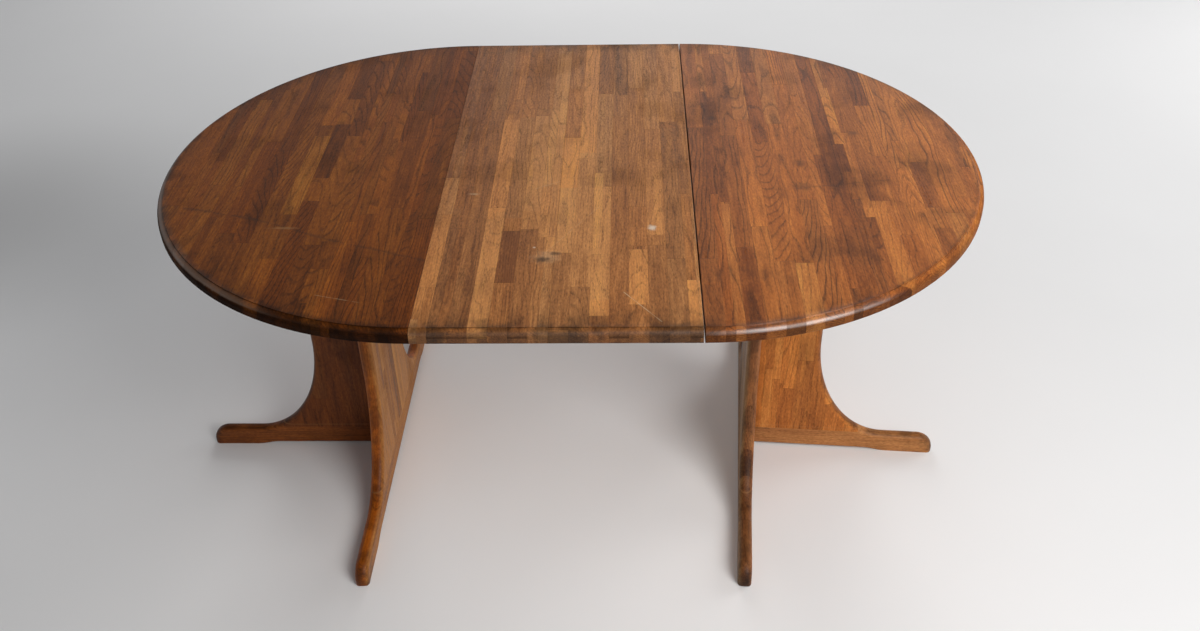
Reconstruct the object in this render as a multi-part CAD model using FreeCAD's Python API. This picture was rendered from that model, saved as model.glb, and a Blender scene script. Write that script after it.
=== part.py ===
import FreeCAD, Part
import math
import os

# Extending dining table: two half-round tops, each on its own three-footed pedestal, joined by
# tongued wooden slides, with a middle leaf that lies between them and folds like a book.
# Lengths are millimetres and angles degrees. X runs along the table, Y across it towards the
# back, and Z up from the floor. Pieces are drawn about the middle of the top. At the end all move
# by top_shift, so that the origin lies on the floor midway between the pedestals.

# Top boards
table_height = 740.0
top_diameter = 1100.0
top_thickness = 25.0
leaf_width = 463.0
left_joint_gap = 0.3
right_joint_gap = 2.5
joint_arris = 0.6

# Moulded rim, from the top face down: a small step, a quarter round, a straight and a soft lower edge
rim_step = 2.0
rim_round = 12.0
rim_lower_round = 3.0

# Fold of the leaf: the seam lies on a glue line, a little left of the leaf's middle
fold_offset = 12.0
fold_gap = 0.3
fold_arris = 0.2
barrel_diameter = 14.0
barrel_length = 40.0
barrel_spacing = 400.0
barrel_slot_width = 3.0
barrel_slot_depth = 26.0
barrel_fit = 0.05

# Pedestal: a cross panel with a foot to the front and one to the back, and a side panel with a foot
pedestal_inset = 172.0
top_shift = 26.0
right_pedestal_turn = -4.6
panel_thickness = 28.0
side_panel_reach = 149.0
cross_panel_reach = 128.0
side_foot_reach = 423.0
cross_foot_reach = 438.0
curve_top_height = 300.0
curve_width = 160.0
rail_top_height = 52.0
panel_tip_height = 8.0
toe_height = 44.0
nose_length = 36.0
nose_lip_height = 8.0
heel_chamfer = 3.0
pad_length = 100.0
ramp_length = 55.0
arch_rise = 7.0
panel_arris = 12.0

# Dowels of the pedestal
dowel_diameter = 10.0
dowel_fit = 0.05
rail_dowel_sink = 25.0
cross_dowel_sink = 15.0
side_dowel_sink = 30.0
rail_dowel_shares = (0.12, 0.28, 0.42)
panel_dowel_shares = (0.2, 0.4, 0.6, 0.8)

# Corner blocks that fasten the pedestal to the top
block_size = 38.0
block_flat_share = 0.4
block_screw_share = 0.38

# Slides: an outer runner on each half, and a centre runner with a tongue on both faces
storage_height = 60.0
slide_spread = 190.0
runner_height = 45.0
runner_width = 28.0
runner_tail = 35.0
runner_inner_reach = 100.0
centre_runner_width = 24.0
centre_runner_reach = 330.0
centre_runner_drop = 1.0
slide_gap = 0.4
tongue_depth = 8.0
tongue_neck = 12.0
tongue_flare = 18.0
tongue_fit = 0.3
stop_length = 14.0
opening_spare = 30.0
stop_slack = 1.0
runner_end_round = 8.0

# Bearers that carry the runners below the tops
bearer_width = 40.0
bearer_start = 62.0
bearer_overhang = 8.0
bearer_relief = 1.5
bearer_chamfer = 5.0
inner_bearer_offset = 49.0
outer_bearer_offset = 200.0

# Centre frame: ties below the centre runners, and posts that hold the leaf level with the tops
tie_offset = 100.0
tie_width = 45.0
tie_thickness = 22.0
tie_overhang = 40.0
tie_chamfer = 4.0
post_offset = 150.0
post_length = 30.0
post_clearance = 0.2
post_chamfer = 2.0
post_dowel_diameter = 8.0
post_dowel_sink = 20.0

# Turn buttons that hold the leaf's edges up
button_length = 110.0
button_width = 26.0
button_thickness = 12.0
button_pivot_inset = 26.0
button_joint_inset = 36.0
button_spread = 360.0
button_clearance = 0.4
button_arris = 2.0
pivot_diameter = 5.0
pivot_fit = 0.1
pivot_head_diameter = 12.0
pivot_head_height = 3.0
pivot_head_clearance = 0.3

# Wood screws
screw_head_diameter = 9.0
screw_shank_diameter = 4.5
screw_head_height = 2.5
screw_point_length = 5.0
screw_grip = 25.0
screw_bite = 15.0
screw_fit = 0.1
bearer_screw_places = (85.0, 130.0)

# One overrun for all cuts, and the distance within which two edges are the same edge
overrun = 1.0
same_place = 0.01

# Places that follow from the sizes above
LEFT = -1
RIGHT = 1
FRONT = -1
BACK = 1
SIDE_NAMES = {LEFT: "left", RIGHT: "right"}
END_NAMES = {FRONT: "front", BACK: "back"}
top_radius = top_diameter / 2
underside = table_height - top_thickness
joint_x = (leaf_width + left_joint_gap + right_joint_gap) / 2
leaf_start = left_joint_gap - joint_x
leaf_end = joint_x - right_joint_gap
fold_x = (leaf_start + leaf_end) / 2 - fold_offset
pedestal_x = joint_x + pedestal_inset
half_panel = panel_thickness / 2
runner_top = underside - storage_height
runner_bottom = runner_top - runner_height
runner_pitch = (centre_runner_width + runner_width) / 2 + slide_gap
centre_top = runner_top - centre_runner_drop
centre_bottom = runner_bottom - centre_runner_drop
tongue_middle = (centre_top + centre_bottom) / 2
tongue_short_reach = runner_inner_reach - stop_length - opening_spare - stop_slack
Z_AXIS = FreeCAD.Vector(0, 0, 1)
HALF_TURN = 180.0
QUARTER_TURN = 90.0


def vec(x, y, z):
    return FreeCAD.Vector(x, y, z)


def block(x_pair, y_pair, z_pair):
    """Box between two values on each axis, in either order."""
    low = vec(min(x_pair), min(y_pair), min(z_pair))
    high = vec(max(x_pair), max(y_pair), max(z_pair))
    size = high - low
    return Part.makeBox(size.x, size.y, size.z, low)


def prism(points, direction):
    """Solid swept from a closed polygon."""
    return Part.Face(Part.makePolygon(points + points[:1])).extrude(direction)


def rod(diameter, start, end):
    """Round bar between two points."""
    span = end - start
    return Part.makeCylinder(diameter / 2, span.Length, start, span)


def arc_by_angle(centre, radius, start, end):
    """Arc in the plane of Y and Z, between two angles measured from +Y towards +Z."""
    points = []
    for angle in (start, (start + end) / 2, end):
        turn = math.radians(angle)
        points.append(centre + vec(0, radius * math.cos(turn), radius * math.sin(turn)))
    return Part.Arc(*points).toShape()


def quarter_ellipse(centre, first, second):
    """A quarter of an ellipse between the ends of its two half axes."""
    long_end, short_end = first, second
    if (second - centre).Length > (first - centre).Length:
        long_end, short_end = second, first
    return Part.Ellipse(long_end, short_end, centre).toShape(0, math.pi / 2)


def bevelled(solid, size, direction):
    """The solid with its edges along one direction chamfered."""
    edges = []
    for edge in solid.Edges:
        if edge.tangentAt(edge.FirstParameter).isParallel(direction, same_place):
            edges.append(edge)
    return solid.makeChamfer(size, edges)


# Top boards

def rim(reach):
    """Edges of the moulded rim in the plane of Y and Z, from the underside up to the top face."""
    lower_centre = vec(0, reach - rim_lower_round, underside + rim_lower_round)
    upper_centre = vec(0, reach - rim_round, table_height - rim_step - rim_round)
    lower = arc_by_angle(lower_centre, rim_lower_round, -QUARTER_TURN, 0)
    straight = Part.makeLine(vec(0, reach, lower_centre.z), vec(0, reach, upper_centre.z))
    upper = arc_by_angle(upper_centre, rim_round, 0, QUARTER_TURN)
    step_low = vec(0, upper_centre.y, table_height - rim_step)
    step = Part.makeLine(step_low, vec(0, upper_centre.y, table_height))
    return [lower, straight, upper, step]


def arris_wedge(x, inward, size):
    """Wedge that eases the top arris of a straight edge; inward points into the wood."""
    corner = vec(x, -top_radius, table_height)
    along = corner + vec(inward * size, 0, 0)
    down = corner - vec(0, 0, size)
    return prism([corner, along, down], vec(0, top_diameter, 0))


def half_top(side):
    """Half disc with the moulded rim, spun about the middle of its straight edge."""
    edges = rim(top_radius)
    middle_low = vec(0, 0, underside)
    middle_high = vec(0, 0, table_height)
    edges.append(Part.makeLine(middle_low, vec(0, top_radius - rim_lower_round, underside)))
    edges.append(Part.makeLine(middle_high, vec(0, top_radius - rim_round, table_height)))
    edges.append(Part.makeLine(middle_low, middle_high))
    section = Part.Face(Part.Wire(Part.__sortEdges__(edges)))
    board = section.revolve(vec(0, 0, 0), Z_AXIS, -side * HALF_TURN)
    board.translate(vec(side * joint_x, 0, 0))
    return board.cut(arris_wedge(side * joint_x, side, joint_arris))


def leaf_board(start, end, start_arris, end_arris):
    """One board of the leaf, with the moulded rim along its front and back ends."""
    back = rim(top_radius)
    front = [edge.mirror(vec(0, 0, 0), vec(0, 1, 0)) for edge in back]
    low_reach = top_radius - rim_lower_round
    high_reach = top_radius - rim_round
    under = Part.makeLine(vec(0, -low_reach, underside), vec(0, low_reach, underside))
    over = Part.makeLine(vec(0, -high_reach, table_height), vec(0, high_reach, table_height))
    section = Part.Face(Part.Wire(Part.__sortEdges__(back + front + [under, over])))
    board = section.extrude(vec(end - start, 0, 0))
    board.translate(vec(start, 0, 0))
    return board.cut([arris_wedge(start, 1, start_arris), arris_wedge(end, -1, end_arris)])


def hinge_barrels(inward):
    """Concealed hinge barrels let into one edge of the fold seam, each slotted for its links."""
    barrels = []
    middle = (underside + table_height) / 2
    face = fold_x + inward * fold_gap / 2
    for place in (-barrel_spacing, 0, barrel_spacing):
        mouth = vec(face, place, middle)
        barrel = rod(barrel_diameter, mouth, mouth + vec(inward * barrel_length, 0, 0))
        slot_y = (place - barrel_slot_width / 2, place + barrel_slot_width / 2)
        slot_z = (middle - barrel_diameter, middle + barrel_diameter)
        slot = block((face, face + inward * barrel_slot_depth), slot_y, slot_z)
        barrels.append(barrel.cut(slot))
    return barrels


def barrel_bores(inward):
    """Bores for the hinge barrels, open at the seam."""
    middle = (underside + table_height) / 2
    diameter = barrel_diameter + 2 * barrel_fit
    bores = []
    for place in (-barrel_spacing, 0, barrel_spacing):
        bore_end = fold_x + inward * (fold_gap / 2 + barrel_length + barrel_fit)
        bores.append(rod(diameter, vec(fold_x, place, middle), vec(bore_end, place, middle)))
    return bores


# Screws and dowels

def wood_screw(x, y, head_z, length):
    """Countersunk screw driven upwards: flat head, shank and point."""
    head_top = head_z + screw_head_height
    point_start = head_z + length - screw_point_length
    shank_radius = screw_shank_diameter / 2
    head = Part.makeCone(screw_head_diameter / 2, shank_radius, screw_head_height, vec(x, y, head_z))
    shank = rod(screw_shank_diameter, vec(x, y, head_top), vec(x, y, point_start))
    point = Part.makeCone(shank_radius, 0, screw_point_length, vec(x, y, point_start))
    return head.fuse([shank, point]).removeSplitter()


def screw_hole(x, y, head_z, length, mouth_z):
    """Room for a screw: a counterbore up from the mouth, then a straight hole for the shank."""
    shank_end = vec(x, y, head_z + length + screw_fit)
    shank = rod(screw_shank_diameter + 2 * screw_fit, vec(x, y, mouth_z), shank_end)
    bore_end = vec(x, y, head_z + screw_head_height)
    bore = rod(screw_head_diameter + 2 * screw_fit, vec(x, y, mouth_z - overrun), bore_end)
    return shank.fuse(bore)


top_screw_head = underside - screw_grip
top_screw_length = screw_grip + screw_bite


def top_screw_hole(place):
    return screw_hole(place.x, place.y, top_screw_head, top_screw_length, runner_top)


# Pedestal, drawn about its own upright axis with the side foot along +X

def ramp(start):
    """Two equal arcs that lift the foot's underside from the pad to the arch."""
    half_length = ramp_length / 2
    half_rise = arch_rise / 2
    radius = (half_length ** 2 + half_rise ** 2) / (2 * half_rise)
    sweep = math.asin(half_length / radius)
    lower = []
    upper = []
    for angle in (0, sweep / 2, sweep):
        along = radius * math.sin(angle)
        rise = radius * (1 - math.cos(angle))
        lower.append(vec(start - along, 0, rise))
        upper.append(vec(start - ramp_length + along, 0, arch_rise - rise))
    return [Part.Arc(*lower).toShape(), Part.Arc(*upper).toShape()]


def foot_edges(panel_reach, foot_reach):
    """Outline of one wing in the plane of X and Z: the rounded outer side and the plain underside."""
    curve_end = panel_reach + curve_width
    nose_start = foot_reach - nose_length
    curve_centre = vec(curve_end, 0, curve_top_height)
    curve_low = vec(curve_end, 0, toe_height)
    curve_high = vec(panel_reach, 0, curve_top_height)
    upright = Part.makeLine(vec(panel_reach, 0, underside), curve_high)
    curve = quarter_ellipse(curve_centre, curve_low, curve_high)
    instep = Part.makeLine(curve_low, vec(nose_start, 0, toe_height))
    nose_centre = vec(nose_start, 0, nose_lip_height)
    nose = quarter_ellipse(nose_centre, vec(foot_reach, 0, nose_lip_height), vec(nose_start, 0, toe_height))
    lip = Part.makeLine(vec(foot_reach, 0, nose_lip_height), vec(foot_reach, 0, heel_chamfer))
    chamfer = Part.makeLine(vec(foot_reach, 0, heel_chamfer), vec(foot_reach - heel_chamfer, 0, 0))
    pad_start = foot_reach - pad_length
    pad = Part.makeLine(vec(foot_reach - heel_chamfer, 0, 0), vec(pad_start, 0, 0))
    return [upright, curve, instep, nose, lip], [chamfer, pad] + ramp(pad_start)


def wing(rounded, plain):
    """Board cut to an outline, with the arrises of its rounded edges eased on both faces."""
    face = Part.Face(Part.Wire(Part.__sortEdges__(rounded + plain)))
    face.translate(vec(0, -half_panel, 0))
    board = face.extrude(vec(0, panel_thickness, 0))
    arrises = []
    for edge in board.Edges:
        for outline in rounded:
            for offset in (-half_panel, half_panel):
                place = outline.CenterOfMass + vec(0, offset, 0)
                if edge.CenterOfMass.isEqual(place, same_place):
                    arrises.append(edge)
    return board.makeFillet(panel_arris, arrises)


def side_wing():
    """Side panel and its foot rail in one outline, starting at the cross panel's face."""
    rounded, plain = foot_edges(side_panel_reach, side_foot_reach)
    arch_end = side_foot_reach - pad_length - ramp_length
    inner_top = vec(half_panel, 0, underside)
    inner_low = vec(half_panel, 0, arch_rise)
    plain.append(Part.makeLine(vec(arch_end, 0, arch_rise), inner_low))
    plain.append(Part.makeLine(inner_low, inner_top))
    plain.append(Part.makeLine(inner_top, vec(side_panel_reach, 0, underside)))
    return wing(rounded, plain)


def cross_wing():
    """Cross panel and its foot rail in one outline, with a foot to the front and one to the back."""
    rounded, plain = foot_edges(cross_panel_reach, cross_foot_reach)
    arch_end = cross_foot_reach - pad_length - ramp_length
    mirror_plane = vec(1, 0, 0)
    rounded += [edge.mirror(vec(0, 0, 0), mirror_plane) for edge in rounded]
    plain += [edge.mirror(vec(0, 0, 0), mirror_plane) for edge in plain]
    plain.append(Part.makeLine(vec(-arch_end, 0, arch_rise), vec(arch_end, 0, arch_rise)))
    plain.append(Part.makeLine(vec(-cross_panel_reach, 0, underside), vec(cross_panel_reach, 0, underside)))
    board = wing(rounded, plain)
    board.rotate(vec(0, 0, 0), Z_AXIS, QUARTER_TURN)
    return board


def pedestal_dowels(fit):
    """Dowels between rails and panels, and between the side panel and the cross panel."""
    diameter = dowel_diameter + 2 * fit
    places = [vec(share * side_foot_reach, 0, rail_top_height) for share in rail_dowel_shares]
    for share in rail_dowel_shares:
        places.append(vec(0, share * cross_foot_reach, rail_top_height))
        places.append(vec(0, -share * cross_foot_reach, rail_top_height))
    sink = vec(0, 0, rail_dowel_sink + fit)
    dowels = [rod(diameter, place - sink, place + sink) for place in places]
    heights = [share * underside for share in panel_dowel_shares]
    heights.append((arch_rise + rail_top_height) / 2)
    for height in heights:
        start = vec(half_panel - cross_dowel_sink - fit, 0, height)
        end = vec(half_panel + side_dowel_sink + fit, 0, height)
        dowels.append(rod(diameter, start, end))
    return dowels


def corner_block_screws():
    """Places of the two screws that hold the corner blocks to the top."""
    place = half_panel + block_screw_share * block_size
    return [vec(place, place, 0), vec(place, -place, 0)]


def corner_blocks():
    """Blocks in the two corners between side panel and cross panel, screwed up into the top."""
    inner = half_panel
    outer = half_panel + block_size
    flat = half_panel + block_flat_share * block_size
    outline = [(inner, inner), (outer, inner), (outer, flat), (flat, outer), (inner, outer)]
    holes = [top_screw_hole(place) for place in corner_block_screws()]
    blocks = []
    for end in (FRONT, BACK):
        points = [vec(x, end * y, runner_top) for x, y in outline]
        blocks.append(prism(points, vec(0, 0, storage_height)).cut(holes))
    return blocks


def pedestal_matrix(side):
    """Placement of a pedestal below the top; the right one stands a few degrees off square."""
    angle = right_pedestal_turn if side == RIGHT else HALF_TURN
    axis = vec(side * pedestal_x - top_shift, 0, 0)
    return FreeCAD.Placement(axis, FreeCAD.Rotation(Z_AXIS, angle)).toMatrix()


def panel_end(panel_reach):
    """Reach at which the hollow curve leaves the panel its blunt tip, which butts a shoulder of the rail."""
    drop = curve_top_height - rail_top_height - panel_tip_height
    drop_share = drop / (curve_top_height - toe_height)
    return panel_reach + curve_width * (1 - math.sqrt(1 - drop_share ** 2))


def pedestal(side):
    """Named pieces of one pedestal, in the table's frame."""
    side_end = panel_end(side_panel_reach)
    cross_end = panel_end(cross_panel_reach)
    panel_heights = (rail_top_height, underside)
    side_room = block((half_panel, side_end), (-half_panel, half_panel), panel_heights)
    cross_room = block((-half_panel, half_panel), (-cross_end, cross_end), panel_heights)
    holes = pedestal_dowels(dowel_fit)
    side_board = side_wing()
    cross_board = cross_wing()
    pieces = {
        "side_panel": side_board.common(side_room).cut(holes),
        "side_foot_rail": side_board.cut(side_room).cut(holes),
        "cross_panel": cross_board.common(cross_room).cut(holes),
        "cross_foot_rail": cross_board.cut(cross_room).cut(holes),
        "pedestal_dowels": Part.makeCompound(pedestal_dowels(0)),
        "corner_blocks": Part.makeCompound(corner_blocks()),
    }
    matrix = pedestal_matrix(side)
    return {name: piece.transformed(matrix, True) for name, piece in pieces.items()}


# Slides

def runner_middle(side, end):
    """Y of an outer runner's middle: left ones run inside the centre runners, right ones outside."""
    return end * (slide_spread + side * runner_pitch)


def dovetail(x_pair, face_y, outward, fit, depth):
    """Dovetail bar along X, standing out of a face of the centre runner."""
    neck = tongue_neck / 2 + fit
    flare = tongue_flare / 2 + fit
    tip_y = face_y + outward * depth
    x_start = min(x_pair)
    points = [
        vec(x_start, face_y, tongue_middle - neck),
        vec(x_start, tip_y, tongue_middle - flare),
        vec(x_start, tip_y, tongue_middle + flare),
        vec(x_start, face_y, tongue_middle + neck),
    ]
    return prism(points, vec(max(x_pair) - x_start, 0, 0))


def groove(side, end, x_pair):
    """Room for the tongue in an outer runner, measured from the centre runner's face."""
    outward = side * end
    face = end * slide_spread + outward * centre_runner_width / 2
    return dovetail(x_pair, face, outward, tongue_fit, tongue_depth + tongue_fit)


def outer_runner(side, end):
    """Runner screwed below one half, grooved on the face towards the centre runner."""
    outer_end = bearer_places(side)[1] + side * runner_tail
    x_pair = (outer_end, -side * runner_inner_reach)
    middle = runner_middle(side, end)
    y_pair = (middle - runner_width / 2, middle + runner_width / 2)
    runner = block(x_pair, y_pair, (runner_bottom, runner_top))
    low_ends = []
    for edge in runner.Edges:
        centre = edge.CenterOfMass
        if abs(centre.z - runner_bottom) < same_place and abs(centre.y - middle) < same_place:
            low_ends.append(edge)
    runner = runner.makeFillet(runner_end_round, low_ends)
    long_pair = (outer_end + side * overrun, -side * (runner_inner_reach + overrun))
    holes = [runner_screw_hole(place) for place in runner_screw_places(side, end)]
    return runner.cut([groove(side, end, long_pair)] + holes)


def slide_stop(side, end):
    """Block in the inner end of a groove; the tongue's end meets it when the table is drawn fully out."""
    x_pair = (-side * (runner_inner_reach - stop_length), -side * runner_inner_reach)
    middle = runner_middle(side, end)
    y_pair = (middle - runner_width / 2, middle + runner_width / 2)
    return groove(side, end, x_pair).common(block(x_pair, y_pair, (runner_bottom, runner_top)))


def centre_runner(end):
    """Centre runner with a dovetail tongue on each face, each cut short of one end for the stop."""
    middle = end * slide_spread
    half_width = centre_runner_width / 2
    x_pair = (-centre_runner_reach, centre_runner_reach)
    runner = block(x_pair, (middle - half_width, middle + half_width), (centre_bottom, centre_top))
    for side in (LEFT, RIGHT):
        outward = side * end
        tongue_pair = (side * centre_runner_reach, -side * tongue_short_reach)
        runner = runner.fuse(dovetail(tongue_pair, middle + outward * half_width, outward, 0, tongue_depth))
    holes = []
    for tie_x in (-tie_offset, tie_offset):
        holes.append(tie_screw_hole(vec(tie_x, middle, 0)))
    for post_x in (-post_offset, post_offset):
        holes.append(post_dowel(post_x, end, dowel_fit))
    return runner.removeSplitter().cut(holes)


# Bearers

def bearer_places(side):
    """X of the middle of the inner and the outer bearer of one half, measured from its pedestal."""
    offsets = (inner_bearer_offset, outer_bearer_offset)
    return [side * (pedestal_x + offset) - top_shift for offset in offsets]


def runner_screw_places(side, end):
    return [vec(x, runner_middle(side, end), 0) for x in bearer_places(side)]


runner_screw_length = runner_height + screw_grip


def runner_screw_hole(place):
    return screw_hole(place.x, place.y, runner_bottom, runner_screw_length, runner_bottom)


def bearer_screw_holes(side):
    """All screw holes in the bearers of one half."""
    holes = [top_screw_hole(place) for place in bearer_top_screws(side)]
    for end in (FRONT, BACK):
        holes += [runner_screw_hole(place) for place in runner_screw_places(side, end)]
    return holes


def bearer_top_screws(side):
    """Places of the screws that hold the bearers of one half to its top."""
    places = []
    for x in bearer_places(side):
        for y in bearer_screw_places:
            places += [vec(x, y, 0), vec(x, -y, 0)]
    return places


def bearer(side, middle_x, y_pair):
    """Bar between a top and its runners, relieved where the other half's runners pass below it."""
    x_pair = (middle_x - bearer_width / 2, middle_x + bearer_width / 2)
    bar = bevelled(block(x_pair, y_pair, (runner_top, underside)), bearer_chamfer, Z_AXIS)
    if side == RIGHT:
        clear = abs(runner_middle(RIGHT, BACK)) - runner_width / 2
        bar = bar.cut(block(x_pair, (-clear, clear), (runner_top, runner_top + bearer_relief)))
    return bar.cut(bearer_screw_holes(side))


def bearer_reach(side):
    return abs(runner_middle(side, BACK)) + runner_width / 2 + bearer_overhang


def inner_bearers(side):
    """Short bearers on both sides of the pedestal."""
    middle_x = bearer_places(side)[0]
    return [bearer(side, middle_x, (end * bearer_start, end * bearer_reach(side))) for end in (FRONT, BACK)]


def outer_bearer(side):
    """Long bearer beyond the pedestal, which also keeps the top flat."""
    middle_x = bearer_places(side)[1]
    return bearer(side, middle_x, (-bearer_reach(side), bearer_reach(side)))


# Centre frame

tie_bottom = centre_bottom - tie_thickness
tie_screw_length = tie_thickness + screw_grip


def tie_screw_hole(place):
    return screw_hole(place.x, place.y, tie_bottom, tie_screw_length, tie_bottom)


def tie(side):
    """Bar below the slides that keeps the two centre runners apart."""
    middle = side * tie_offset
    reach = slide_spread + tie_overhang
    x_pair = (middle - tie_width / 2, middle + tie_width / 2)
    bar = bevelled(block(x_pair, (-reach, reach), (tie_bottom, centre_bottom)), tie_chamfer, vec(0, 1, 0))
    holes = [tie_screw_hole(vec(middle, end * slide_spread, 0)) for end in (FRONT, BACK)]
    return bar.cut(holes)


def post_dowel(x, end, fit):
    """Upright dowel between a centre runner and a leaf post."""
    reach = vec(0, 0, post_dowel_sink + fit)
    place = vec(x, end * slide_spread, centre_top)
    return rod(post_dowel_diameter + 2 * fit, place - reach, place + reach)


def leaf_post(side, end):
    """Post on a centre runner that holds the open leaf level with the tops."""
    x_pair = (side * post_offset - post_length / 2, side * post_offset + post_length / 2)
    middle = end * slide_spread
    y_pair = (middle - centre_runner_width / 2, middle + centre_runner_width / 2)
    post = block(x_pair, y_pair, (centre_top, underside - post_clearance))
    return bevelled(post, post_chamfer, Z_AXIS).cut(post_dowel(side * post_offset, end, dowel_fit))


# Turn buttons

button_top = underside - button_clearance
button_bottom = button_top - button_thickness


def pivot_place(side, end):
    return vec(side * (joint_x + button_joint_inset), end * button_spread, 0)


def turn_button(side, end):
    """Round-ended wooden button below a joint, turned out under the leaf."""
    pivot = pivot_place(side, end)
    radius = button_width / 2
    near = pivot + vec(side * (button_pivot_inset - radius), 0, button_bottom)
    far = near - vec(side * (button_length - button_width), 0, 0)
    height = vec(0, 0, button_thickness)
    bar = block((near.x, far.x), (near.y - radius, near.y + radius), (button_bottom, button_top))
    rounds = [rod(button_width, place, place + height) for place in (near, far)]
    shape = bar.fuse(rounds).removeSplitter()
    low_edges = [edge for edge in shape.Edges if abs(edge.CenterOfMass.z - button_bottom) < same_place]
    shape = shape.makeFillet(button_arris, low_edges)
    mouth = vec(pivot.x, pivot.y, button_bottom - overrun)
    return shape.cut(rod(pivot_diameter + 2 * pivot_fit, mouth, vec(pivot.x, pivot.y, underside)))


def button_pivot(side, end):
    """Pan-headed pivot screw that a turn button swings on."""
    pivot = pivot_place(side, end)
    head_top = vec(pivot.x, pivot.y, button_bottom - pivot_head_clearance)
    head = rod(pivot_head_diameter, head_top - vec(0, 0, pivot_head_height), head_top)
    shank = rod(pivot_diameter, head_top, vec(pivot.x, pivot.y, underside + screw_bite))
    return head.fuse(shank).removeSplitter()


def pivot_hole(side, end):
    """Hole for a pivot screw in the top."""
    pivot = pivot_place(side, end)
    hole_end = vec(pivot.x, pivot.y, underside + screw_bite + screw_fit)
    return rod(pivot_diameter + 2 * pivot_fit, vec(pivot.x, pivot.y, underside - overrun), hole_end)


# Assembly

def half_pieces(side):
    """All named pieces that belong to one half of the table."""
    name = SIDE_NAMES[side]
    pieces = {}
    for piece_name, shape in pedestal(side).items():
        pieces[name + "_" + piece_name] = shape
    matrix = pedestal_matrix(side)
    screw_places = bearer_top_screws(side) + [matrix.multVec(place) for place in corner_block_screws()]
    holes = [top_screw_hole(place) for place in screw_places]
    holes += [pivot_hole(side, end) for end in (FRONT, BACK)]
    pieces[name + "_top"] = half_top(side).cut(holes)
    top_screws = [wood_screw(place.x, place.y, top_screw_head, top_screw_length) for place in screw_places]
    pieces[name + "_top_screws"] = Part.makeCompound(top_screws)
    pieces[name + "_inner_bearers"] = Part.makeCompound(inner_bearers(side))
    pieces[name + "_outer_bearer"] = outer_bearer(side)
    runner_screws = []
    for end in (FRONT, BACK):
        pieces[name + "_" + END_NAMES[end] + "_runner"] = outer_runner(side, end)
        pieces[name + "_" + END_NAMES[end] + "_turn_button"] = turn_button(side, end)
        for place in runner_screw_places(side, end):
            runner_screws.append(wood_screw(place.x, place.y, runner_bottom, runner_screw_length))
    pieces[name + "_runner_screws"] = Part.makeCompound(runner_screws)
    pieces[name + "_slide_stops"] = Part.makeCompound([slide_stop(side, end) for end in (FRONT, BACK)])
    pieces[name + "_button_pivots"] = Part.makeCompound([button_pivot(side, end) for end in (FRONT, BACK)])
    return pieces


def centre_pieces():
    """All named pieces of the centre frame."""
    pieces = {}
    tie_screws = []
    dowels = []
    for end in (FRONT, BACK):
        pieces["centre_" + END_NAMES[end] + "_runner"] = centre_runner(end)
        for side in (LEFT, RIGHT):
            tie_x = side * tie_offset
            tie_screws.append(wood_screw(tie_x, end * slide_spread, tie_bottom, tie_screw_length))
            dowels.append(post_dowel(side * post_offset, end, 0))
            pieces["leaf_post_" + SIDE_NAMES[side] + "_" + END_NAMES[end]] = leaf_post(side, end)
    for side in (LEFT, RIGHT):
        pieces["centre_" + SIDE_NAMES[side] + "_tie"] = tie(side)
    pieces["centre_tie_screws"] = Part.makeCompound(tie_screws)
    pieces["leaf_post_dowels"] = Part.makeCompound(dowels)
    return pieces


def leaf_pieces():
    """Both boards of the leaf and the two sets of hinge barrels."""
    left_end = fold_x - fold_gap / 2
    right_start = fold_x + fold_gap / 2
    left_board = leaf_board(leaf_start, left_end, joint_arris, fold_arris)
    right_board = leaf_board(right_start, leaf_end, fold_arris, joint_arris)
    return {
        "leaf_left_board": left_board.cut(barrel_bores(LEFT)),
        "leaf_right_board": right_board.cut(barrel_bores(RIGHT)),
        "leaf_left_hinge_barrels": Part.makeCompound(hinge_barrels(LEFT)),
        "leaf_right_hinge_barrels": Part.makeCompound(hinge_barrels(RIGHT)),
    }


all_pieces = {}
for table_side in (LEFT, RIGHT):
    all_pieces.update(half_pieces(table_side))
all_pieces.update(centre_pieces())
all_pieces.update(leaf_pieces())

os.makedirs("parts", exist_ok=True)
for piece_name, shape in all_pieces.items():
    shape.translate(vec(top_shift, 0, 0))
    shape.exportStep("parts/" + piece_name + ".step")
    print(piece_name, len(shape.Solids), "solids", round(shape.Volume), "mm3, valid", shape.isValid())
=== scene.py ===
# %% [markdown]
# # Dressing an extending oak table
# The shapes of this table come from a CAD model that is already finished: two half-round tops, a middle
# leaf in two boards, two pedestals and the slides below. Blender adds what CAD can't: oak with its staves,
# growth rings, pores, worn edges and old marks, and the light to see them by.
#
# The first step loads that model as a fixed frame. Nothing in it is moved or reshaped.

# %% Load the frame
import math

import bpy
from mathutils import Matrix, Vector


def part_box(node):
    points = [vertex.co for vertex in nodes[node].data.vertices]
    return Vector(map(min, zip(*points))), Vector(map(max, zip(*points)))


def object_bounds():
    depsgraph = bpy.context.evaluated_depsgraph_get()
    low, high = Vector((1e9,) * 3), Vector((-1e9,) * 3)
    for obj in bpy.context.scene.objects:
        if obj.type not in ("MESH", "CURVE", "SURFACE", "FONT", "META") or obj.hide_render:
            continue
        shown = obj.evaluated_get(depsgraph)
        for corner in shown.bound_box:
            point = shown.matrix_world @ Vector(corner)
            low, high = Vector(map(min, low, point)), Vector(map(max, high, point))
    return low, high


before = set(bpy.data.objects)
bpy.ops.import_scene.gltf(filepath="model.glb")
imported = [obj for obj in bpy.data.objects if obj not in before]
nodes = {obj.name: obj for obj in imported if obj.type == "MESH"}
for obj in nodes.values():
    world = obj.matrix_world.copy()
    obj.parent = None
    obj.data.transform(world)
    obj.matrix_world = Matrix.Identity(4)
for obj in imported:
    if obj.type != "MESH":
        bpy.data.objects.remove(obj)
cad_low, cad_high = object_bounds()
bpy.ops.object.select_all(action="DESELECT")
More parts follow.
